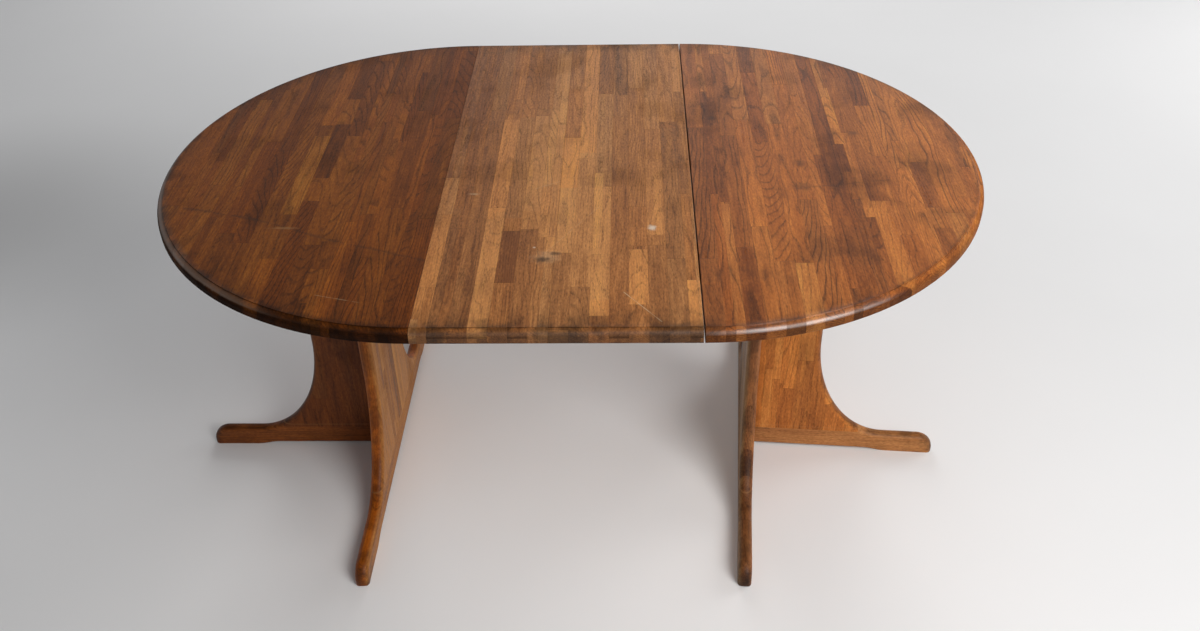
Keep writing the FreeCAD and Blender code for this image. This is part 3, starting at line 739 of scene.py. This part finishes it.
leaf_scratches = [
    ((0.105, -0.445), (0.165, -0.525), 0.0016, bare_wood, 0.7),
    ((-0.030, -0.330), (0.060, -0.180), 0.0012, bare_wood, 0.25),
    ((-0.060, -0.115), (-0.010, -0.085), 0.0016, bare_wood, 0.25),
]
leaf_spots = [
    ((-0.049, -0.313), (0.0035, 0.0035, 0.02), chalk, 0.5),
    ((0.155, -0.252), (0.010, 0.013, 0.02), chalk, 0.6),
    ((-0.173, -0.132), (0.014, 0.005, 0.02), bare_wood, 0.4),
    ((-0.026, -0.342), (0.034, 0.026, 0.02), bare_wood, 0.22),
    ((-0.033, -0.350), (0.019, 0.012, 0.02), knot_brown, 0.75),
    ((-0.012, -0.332), (0.013, 0.008, 0.02), knot_brown, 0.6),
]
left_scratches = [
    ((-0.700, -0.175), (-0.560, -0.215), 0.010, knot_brown, 0.45),
    ((-0.560, -0.215), (-0.410, -0.285), 0.008, knot_brown, 0.35),
    ((-0.410, -0.285), (-0.235, -0.350), 0.008, knot_brown, 0.4),
    ((-0.400, -0.450), (-0.310, -0.475), 0.0014, bare_wood, 0.3),
]
left_spots = [((-0.500, -0.246), (0.036, 0.005, 0.02), worn_gold, 0.45)]
right_scratches = [((0.420, -0.120), (0.600, -0.090), 0.004, knot_brown, 0.3)]
right_spots = [
    ((0.442, -0.025), (0.014, 0.020, 0.02), knot_brown, 0.5),
    ((0.435, -0.113), (0.026, 0.024, 0.02), knot_brown, 0.45),
    ((0.560, 0.095), (0.018, 0.016, 0.02), knot_brown, 0.4),
    ((0.283, 0.163), (0.012, 0.014, 0.02), knot_brown, 0.5),
    ((0.698, -0.310), (0.012, 0.010, 0.03), chalk, 0.6),
    ((0.668, -0.405), (0.010, 0.012, 0.03), chalk, 0.4),
]
print("marks:", len(leaf_scratches + left_scratches + right_scratches), "lines,",
      len(leaf_spots + left_spots + right_spots), "spots")

# %% Tools: marks on a board
def add_marks(oak, scratches, spots):
    """Mixes scratches and spots into the colour of a board."""
    tree, place = oak["tree"], oak["place"]
    for start, end, width, colour, strength in scratches:
        mask = use_group(tree, scratch_group, position=place, start=on_top(*start), end=on_top(*end),
                         width=width)["Mask"]
        mask = calc(tree, "MULTIPLY", mask, strength)
        oak["colour"] = mix_colour(tree, "MIX", mask, oak["colour"], colour)
    for centre, size, colour, strength in spots:
        mask = use_group(tree, spot_group, position=place, centre=on_top(*centre), size=size,
                         **worn_spot)["Mask"]
        mask = calc(tree, "MULTIPLY", mask, strength)
        oak["colour"] = mix_colour(tree, "MIX", mask, oak["colour"], colour)


print("tool for marks ready")

# %% [markdown]
# ## The rim
# The rim is a step and a quarter round. The step is darker, and dirt lies in a soft zone inside it. Hands
# have darkened the round and worn the varnish off it, and its lower edge is painted darker as the shade
# under the round. Hands have changed its front most: on the right half it is polished, and on the left half
# a pale sheen is painted on it. Each mask follows the distance from the outline, or the height on the round,
# and noise breaks up the darkening.

# %% Finish: dirt and painted shade on the rim
step_place = (0.0095, 0.0135, 0.0190)
rim_band = (0.009, 0.027)
rim_zone = (0.012, 0.080)
rim_under = (0.0005, 0.0060)
rim_noise = (30.0, 30.0, 30.0)
rim_patches = (0.38, 0.58)
least_rim_dirt = 0.2


def darken_rim(oak, inside, wear):
    """Darkens the round, its lower edge (painted shade), the step and a soft zone; gives the mask of the
    rim.
    """
    tree = oak["tree"]
    cloud = noise(tree, oak["place"], rim_noise, cloud_detail)
    patchy = ease(tree, cloud, *rim_patches, least_rim_dirt, 1.0)
    low, middle, high = step_place
    into_step = ease(tree, inside, low, middle)
    step = calc(tree, "MULTIPLY", into_step, ease(tree, inside, middle, high, 1.0, 0.0))
    rim = ease(tree, inside, *rim_band, 1.0, 0.0)
    band = calc(tree, "MULTIPLY", rim, patchy)
    # Painted shade: the lower edge of the round is painted darker, as the shade under it.
    under = ease(tree, inside, *rim_under, 1.0, 0.0)
    zone = calc(tree, "MULTIPLY", ease(tree, inside, *rim_zone, 1.0, 0.0), patchy)
    step = calc(tree, "MULTIPLY", step, patchy)
    for label, mask in (("round", band), ("under", under), ("step", step), ("zone", zone)):
        oak["colour"] = shade_by(tree, oak["colour"], mask, wear[label])
    return rim


print("dirt on the rim ready")

# %% Finish: varnish, polish and painted sheen on the rim
# Band and colour of a painted sheen on the upper round.
painted_sheen_band = (0.007, 0.014)
painted_sheen_tone = (0.19, 0.115, 0.075, 1.0)
rim_drop = 0.002
rim_radius = 0.012
round_start = top_height - rim_drop - rim_radius
thirst_dullness = 0.55


def wear_varnish_and_paint_sheen(oak, inside, rim, wear):
    """Dulls the lower round and polishes the upper one where hands reach it most; where a board asks for it,
    it paints a pale sheen there.
    """
    tree = oak["tree"]
    from_middle = vector_calc(tree, "SUBTRACT", oak["place"], (wear["middle"], 0.0, top_height))
    towards = tuple(share / end_radius for share in wear["towards"])
    in_front = ease(tree, vector_calc(tree, "DOT_PRODUCT", from_middle, towards), *wear["turn"])
    height = axes_of(tree, oak["place"])[2]
    upwards = calc(tree, "MULTIPLY_ADD", height, 1 / rim_radius, -round_start / rim_radius)
    upper_side = ease(tree, upwards, *wear["upper"])
    oak["rim"] = calc(tree, "MULTIPLY", rim, ease(tree, upwards, *wear["dulled"], 1.0, 0.0))
    oak["worn_off"] = wear["worn_off"]
    polish = calc(tree, "MULTIPLY", calc(tree, "MULTIPLY", rim, in_front), upper_side)
    # Painted sheen: the upper round is painted pale, as a reflection of light on it.
    if wear["painted_sheen"]:
        painted_sheen = calc(tree, "MULTIPLY", polish, ease(tree, inside, *painted_sheen_band, wear["painted_sheen"], 0.0))
        oak["colour"] = mix_colour(tree, "MIX", painted_sheen, oak["colour"], painted_sheen_tone)
    shine = calc(tree, "MULTIPLY_ADD", oak["thirst"], -thirst_dullness * wear["shine"], wear["shine"])
    oak["polish"] = calc(tree, "MULTIPLY", polish, shine)


print("varnish and polish ready; the round starts at", round(round_start, 4))

# %% [markdown]
# Each board's wear says how much the round, its lower edge, the step and the zone are darkened, how much
# varnish has worn off, and how strongly a pale sheen is painted on the round. The darker lower edge is
# painted shade. Middle, towards and turn say which stretch of the rim hands reach most, and shine how glossy
# it is there. Upper and dulled are heights on the round: where that gloss begins, and where the dull lower
# part ends.

# %% Dress the tops and the leaf
length_axis = (1, 0, 0)
width_axis = (0, 1, 0)
upright = (0, 0, 1)
fold_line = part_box("leaf_left_board")[1].x
# Besides wear, these settings paint light: the darkened lower edge is painted shade, and the pale round is a
# painted sheen.
left_rim_wear_and_painted_light = {"round": 0.56, "under": 0.60, "step": 0.05, "zone": 0.26, "worn_off": 0.75, "painted_sheen": 0.60,
             "middle": left_joint, "towards": (-0.85, -0.53, 0.0), "turn": (0.80, 0.95), "shine": 0.45,
             "upper": (0.40, 0.70), "dulled": (0.50, 0.85)}
leaf_rim_wear_and_painted_light = {"round": 0.32, "under": 0.15, "step": 0.10, "zone": 0.42, "worn_off": 0.0, "painted_sheen": 0.0,
             "middle": top_middle, "towards": (0.0, -1.0, 0.0), "turn": (0.20, 0.55), "shine": 0.20,
             "upper": (0.30, 0.60), "dulled": (0.50, 0.85)}
right_rim_wear_and_painted_light = {"round": 0.08, "under": 0.40, "step": 0.30, "zone": 0.15, "worn_off": 0.70, "painted_sheen": 0.0,
              "middle": right_joint, "towards": (0.31, -0.95, 0.0), "turn": (0.93, 0.985), "shine": 1.00,
              "upper": (0.25, 0.50), "dulled": (0.92, 1.00)}


def dress_top(node, name, start, look, staves, marks, wear):
    """Finishes one board of the top; start is the glue line from which its staves are counted."""
    oak = oak_finish(name, (start, 0.0, top_height), length_axis, width_axis, look, staves)
    add_marks(oak, *marks)
    inside = use_group(oak["tree"], rim_group, position=oak["place"])["Inside"]
    rim = darken_rim(oak, inside, wear)
    wear_varnish_and_paint_sheen(oak, inside, rim, wear)
    dress(close_oak(oak), node)


left_marks = (left_scratches, left_spots)
leaf_marks = (leaf_scratches, leaf_spots)
right_marks = (right_scratches, right_spots)
dress_top("left_top", "left_top_oak", left_joint, left_look, left_staves, left_marks, left_rim_wear_and_painted_light)
for side, sign in (("left", -1.0), ("right", 1.0)):
    own_staves = [stave for stave in leaf_staves if sign * (stave[0] + stave[1]) > 0]
    dress_top(f"leaf_{side}_board", f"leaf_{side}_oak", fold_line, leaf_look, own_staves, leaf_marks,
              leaf_rim_wear_and_painted_light)
dress_top("right_top", "right_top_oak", right_joint, right_look, right_staves, right_marks, right_rim_wear_and_painted_light)
print("tops and leaf dressed; fold line at", round(fold_line, 4))

# %% [markdown]
# ## Pedestals
# The uprights are glued up in the same way, with their staves standing. The foot rails are single boards
# with level grain. The right pedestal stands a few degrees off square, so its boards turn with it. The faces
# of the cross boards that look towards the middle of the table are paler and greyer. The left pedestal's
# side board and rail are darker, partly from a darker stain and partly from painted shade. Shoes have rubbed
# the toes, and a thin painted highlight marks the seam above each rail.

# %% Looks: pedestals
panel_look = {
    "width": 0.034, "length": 0.42, "middle": 0.45, "spread": 0.50, "streak": 0.95, "smudge": 0.30,
    "ring_width": 0.0050, "slant": 0.07, "ring_depth": 0.22, "roughness": 0.42, "specular": 0.20,
    "end_grain": 0.45, "thirst": (0.0, 0.35),
}
rail_look = {**panel_look, "width": 0.3, "length": 3.0, "spread": 0.1, "roughness": 0.44}
# The left side board and its rail take darker tones: partly a darker stain, partly painted shade on that
# side.
dark_stain_and_shade_tones = [(0.105, 0.026, 0.0035), (0.190, 0.049, 0.007), (0.285, 0.078, 0.012), (0.400, 0.128, 0.022)]
edge_tones = [(0.205, 0.046, 0.003), (0.360, 0.087, 0.006), (0.520, 0.138, 0.011), (0.700, 0.215, 0.021)]
dim_stain_and_shade_tones = [(0.070, 0.018, 0.0025), (0.125, 0.033, 0.005), (0.200, 0.055, 0.009), (0.290, 0.090, 0.017)]
bright_tones = [(0.29, 0.086, 0.016), (0.51, 0.163, 0.031), (0.70, 0.250, 0.050), (0.85, 0.360, 0.080)]
golden_tones = [(0.235, 0.084, 0.026), (0.39, 0.156, 0.051), (0.53, 0.235, 0.080), (0.66, 0.338, 0.125)]
worn_tones = [(0.10, 0.031, 0.010), (0.21, 0.070, 0.021), (0.33, 0.120, 0.036), (0.45, 0.185, 0.058)]
left_inner_tones = [(0.14, 0.052, 0.011), (0.28, 0.111, 0.026), (0.39, 0.171, 0.041), (0.485, 0.231, 0.058)]
right_inner_tones = [(0.10, 0.048, 0.017), (0.195, 0.104, 0.039), (0.277, 0.159, 0.062),
                     (0.34, 0.210, 0.089)]
painted_seam_highlight = (0.50, 0.245, 0.095, 1.0)
print("looks of the pedestals ready")

# %% Finish: wear of the pedestals and a painted seam highlight
pedestal_place = (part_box("left_cross_panel")[0].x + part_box("left_cross_panel")[1].x) / 2
panel_half = (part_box("left_cross_panel")[1].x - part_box("left_cross_panel")[0].x) / 2
seam_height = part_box("left_cross_foot_rail")[1].z
right_turn = math.radians(-4.6)
toe_range = (0.34, 0.43)
toe_noise = (45.0, 45.0, 45.0)
scuff_range = (0.40, 0.60)
toe_dark = 0.45
seam_band = (0.0004, 0.0016)
seam_strength = 0.2
inner_face_depth = (0.010, 0.001)
inner_face = [panel_half - depth for depth in inner_face_depth]
inner_strength = 0.85
inner_contrast = 1.5
inner_middle = panel_look["middle"]
edge_dark = 0.50


def darken_edges(oak, through):
    """Darkens the rounded edges of a board; through points through its thickness."""
    tree = oak["tree"]
    normal = add_node(tree, "ShaderNodeTexCoord").outputs["Normal"]
    mask = use_group(tree, edge_group, position=oak["place"], normal=normal, through=through)["Mask"]
    oak["colour"] = shade_by(tree, oak["colour"], mask, edge_dark)


def wear_foot_and_paint_seam_highlight(oak, level):
    """Leaves scuffs on the toes and paints a thin highlight along the seam above the rail; level is the
    place along the rail.
    """
    tree = oak["tree"]
    height = axes_of(tree, oak["place"])[2]
    toe = ease(tree, calc(tree, "ABSOLUTE", level), *toe_range)
    scuff = ease(tree, noise(tree, oak["place"], toe_noise, cloud_detail), *scuff_range)
    oak["colour"] = shade_by(tree, oak["colour"], calc(tree, "MULTIPLY", toe, scuff), toe_dark)
    # The pale line along the seam is a painted highlight on its edge.
    off_seam = calc(tree, "ABSOLUTE", calc(tree, "SUBTRACT", height, seam_height))
    seam = calc(tree, "MULTIPLY", ease(tree, off_seam, *seam_band, 1.0, 0.0), seam_strength)
    oak["colour"] = mix_colour(tree, "MIX", seam, oak["colour"], painted_seam_highlight)


def pale_inside(oak, facing, tones):
    """Pales the face that looks towards the middle of the table; facing is 1 or -1 through the board."""
    tree = oak["tree"]
    towards_middle = calc(tree, "MULTIPLY", axes_of(tree, oak["board"])[2], facing)
    face = calc(tree, "MULTIPLY", ease(tree, towards_middle, *inner_face), inner_strength)
    bolder = calc(tree, "MULTIPLY_ADD", oak["amount"], inner_contrast, (1.0 - inner_contrast) * inner_middle)
    oak["colour"] = mix_colour(tree, "MIX", face, oak["colour"], stain_ramp(tree, bolder, tones))


print("wear of the pedestals ready; seam at", round(seam_height, 4))

# %% Dress the pedestals
panel_seed = 20.0
rail_seed_step = 20.0
side_seed_step = 3.0


def dress_pedestal(side, sign, turned, tones, inner_tones):
    """Finishes four boards; tones holds the stain of each, inner_tones that of the faces turned inwards."""
    outward = (math.cos(turned), math.sin(turned), 0.0)
    sideways = (-math.sin(turned), math.cos(turned), 0.0)
    origin = (-sign * pedestal_place, 0.0, 0.0)
    for board, level_axis in (("side", outward), ("cross", sideways)):
        seed = panel_seed + side_seed_step * sign + len(board)
        panel_look_here = {**panel_look, "seed": seed, "tones": tones[board, "panel"]}
        rail_look_here = {**rail_look, "seed": seed + rail_seed_step, "tones": tones[board, "rail"]}
        panel = oak_finish(f"{side}_{board}_panel_oak", origin, level_axis, upright, panel_look_here)
        rail = oak_finish(f"{side}_{board}_rail_oak", origin, upright, level_axis, rail_look_here)
        if board == "cross":
            pale_inside(panel, -sign, inner_tones)
            pale_inside(rail, sign, inner_tones)
        through = sideways if board == "side" else outward
        darken_edges(panel, through)
        darken_edges(rail, through)
        wear_foot_and_paint_seam_highlight(panel, axes_of(panel["tree"], panel["board"])[0])
        wear_foot_and_paint_seam_highlight(rail, axes_of(rail["tree"], rail["board"])[1])
        dress(close_oak(panel), f"{side}_{board}_panel")
        dress(close_oak(rail), f"{side}_{board}_foot_rail")


left_tones = {("side", "panel"): dim_stain_and_shade_tones, ("side", "rail"): dark_stain_and_shade_tones,
              ("cross", "panel"): edge_tones, ("cross", "rail"): edge_tones}
right_tones = {("side", "panel"): bright_tones, ("side", "rail"): golden_tones,
               ("cross", "panel"): worn_tones, ("cross", "rail"): worn_tones}
dress_pedestal("left", -1.0, 0.0, left_tones, left_inner_tones)
dress_pedestal("right", 1.0, right_turn, right_tones, right_inner_tones)
print("pedestals dressed; the right one turned by", round(math.degrees(right_turn), 2), "degrees")

# %% [markdown]
# ## Hidden woods and metals
# The turn buttons are oak offcuts. Slides, bearers, posts and blocks are plain beech, which is pale, tight
# and flecked. Screws are zinc plated and the hinge barrels brass.

# %% Finish: beech and small oak
beech_tones = [(0.38, 0.22, 0.11), (0.47, 0.29, 0.15), (0.55, 0.36, 0.20), (0.60, 0.41, 0.24)]
beech_look = {**rail_look, "ring_width": 0.0024, "slant": 0.03, "ring_depth": 0.10, "roughness": 0.55,
              "tones": beech_tones}


def named(*endings):
    return [name for name in nodes if name.endswith(endings)]


def plain_wood(name, across_axis, grain_axis, look, seed):
    return close_oak(oak_finish(name, (0, 0, 0), across_axis, grain_axis, {**look, "seed": seed}))


button_look = {**rail_look, "tones": bright_tones}
button_oak = plain_wood("button_oak", width_axis, length_axis, button_look, seed=61.0)
slide_beech = plain_wood("slide_beech", width_axis, length_axis, beech_look, seed=62.0)
bearer_beech = plain_wood("bearer_beech", length_axis, width_axis, beech_look, seed=63.0)
block_beech = plain_wood("block_beech", length_axis, upright, beech_look, seed=64.0)
posts = [name for name in nodes if name.startswith("leaf_post")]
dress(button_oak, *named("turn_button"))
dress(slide_beech, *named("runner", "slide_stops"))
dress(bearer_beech, *named("bearer", "bearers", "tie"))
dress(block_beech, *named("blocks", "dowels"), *posts)
print("beech and buttons dressed")

# %% Finish: steel and brass
metal_noise = (180.0, 180.0, 180.0)
metal_range = (0.35, 0.7)
metal_unevenness = 0.25


def plain_metal(name, bright, dull, roughness):
    material, tree, shader, place = new_material(name)
    cloud = noise(tree, place, metal_noise, cloud_detail)
    colour = mix_colour(tree, "MIX", ease(tree, cloud, *metal_range), (*bright, 1.0), (*dull, 1.0))
    feed(tree, shader.inputs["Base Color"], colour)
    shader.inputs["Metallic"].default_value = 1.0
    feed(tree, shader.inputs["Roughness"], calc(tree, "MULTIPLY_ADD", cloud, metal_unevenness, roughness))
    return material


steel = plain_metal("screw_steel", bright=(0.60, 0.58, 0.54), dull=(0.38, 0.36, 0.33), roughness=0.25)
brass = plain_metal("hinge_brass", bright=(0.74, 0.55, 0.25), dull=(0.48, 0.33, 0.14), roughness=0.22)
dress(steel, *named("screws", "pivots"))
dress(brass, *named("barrels"))
print("metals dressed")

# %% [markdown]
# ## Floor and light
# The table stands on pale paper. Its shadows say where the light is: a large soft lamp stands in front to
# the right, and two more, behind and to the right, stand for the lit paper there. The world fills in the
# rest. It is brightest at the horizon, so the far side of the top shines a little and the near side doesn't.

# %% Floor
floor_radius = 14.0
floor_corners = 128
paper_noise = (1.4, 1.4, 1.4)
grey_paper = (0.835, 0.83, 0.83, 1.0)
white_paper = (0.885, 0.88, 0.88, 1.0)
paper_roughness = 0.8
paper_shine = 0.2
# A soft patch of painted shade darkens the paper behind the table to the left.
painted_shade_place = (-1.85, 1.00, 0.0)
painted_shade_size = (0.85, 0.80, 1.0)
painted_shade_strength = 0.29
bpy.ops.mesh.primitive_circle_add(
    vertices=floor_corners, radius=floor_radius, fill_type="NGON", location=(0, 0, 0))
floor = bpy.context.object
floor.name = "paper_floor"
paper, tree, shader, place = new_material("pale_paper")
cloud = noise(tree, place, paper_noise, cloud_detail)
paper_colour = mix_colour(tree, "MIX", cloud, grey_paper, white_paper)
paper_painted_shade = use_group(tree, spot_group, position=place, centre=painted_shade_place, size=painted_shade_size, **soft_spot)["Mask"]
feed(tree, shader.inputs["Base Color"], shade_by(tree, paper_colour, paper_painted_shade, painted_shade_strength))
shader.inputs["Roughness"].default_value = paper_roughness
shader.inputs["Specular IOR Level"].default_value = paper_shine
floor.data.materials.append(paper)
print("floor radius", floor_radius, "m")

# %% Lamps
lamp_target = Vector((0.2, 0.0, 0.4))
paper_tint = (1.0, 0.995, 0.99)


def soft_lamp(name, bearing, rise, distance, size, watts, tint, mirrored):
    """A square lamp; bearing is in degrees from the front towards the right."""
    bearing, rise = math.radians(bearing), math.radians(rise)
    away = Vector((math.cos(rise) * math.sin(bearing), -math.cos(rise) * math.cos(bearing), math.sin(rise)))
    data = bpy.data.lights.new(name, "AREA")
    data.shape = "SQUARE"
    data.size = size
    data.energy = watts
    data.color = tint
    lamp = bpy.data.objects.new(name, data)
    lamp.location = lamp_target + away * distance
    lamp.rotation_euler = (-away).to_track_quat("-Z", "Y").to_euler()
    lamp.visible_camera = False
    lamp.visible_glossy = mirrored
    bpy.context.scene.collection.objects.link(lamp)


soft_lamp("front_right", bearing=38.0, rise=38.0, distance=3.3, size=1.8, watts=82.0,
          tint=(1.0, 0.99, 0.975), mirrored=True)
soft_lamp("right_paper", bearing=120.0, rise=20.0, distance=4.2, size=2.2, watts=52.0,
          tint=paper_tint, mirrored=False)
soft_lamp("back_paper", bearing=185.0, rise=20.0, distance=5.2, size=2.6, watts=85.0,
          tint=paper_tint, mirrored=False)
print("three lamps set")

# %% World
fill_strength = 0.20
fill_tint = (0.93, 0.96, 1.0, 1.0)
horizon_left = (0.60, 0.60, 0.61, 1.0)
horizon_right = (1.0, 0.99, 0.98, 1.0)
horizon_turn = (-0.25, 0.12)
ceiling = (0.01, 0.01, 0.01, 1.0)
ceiling_range = (0.36, 0.55)
world = bpy.data.worlds.new("studio")
bpy.context.scene.world = world
world.use_nodes = True
tree = world.node_tree
tree.nodes.clear()
fill = add_node(tree, "ShaderNodeBackground")
fill.inputs[0].default_value = fill_tint
fill.inputs[1].default_value = fill_strength
seen = add_node(tree, "ShaderNodeBackground")
direction = add_node(tree, "ShaderNodeTexCoord").outputs["Generated"]
towards_right, _, height = axes_of(tree, direction)
horizon = mix_colour(tree, "MIX", ease(tree, towards_right, *horizon_turn), horizon_left, horizon_right)
seen_colour = mix_colour(tree, "MIX", ease(tree, height, *ceiling_range), horizon, ceiling)
feed(tree, seen.inputs[0], seen_colour)
path = add_node(tree, "ShaderNodeLightPath")
shown = calc(tree, "MAXIMUM", path.outputs["Is Camera Ray"], path.outputs["Is Glossy Ray"])
shown = calc(tree, "MAXIMUM", shown, path.outputs["Is Transmission Ray"])
both = add_node(tree, "ShaderNodeMixShader")
feed(tree, both.inputs[0], shown)
feed(tree, both.inputs[1], fill.outputs[0])
feed(tree, both.inputs[2], seen.outputs[0])
feed(tree, add_node(tree, "ShaderNodeOutputWorld").inputs[0], both.outputs[0])
print("world set, fill", fill_strength)
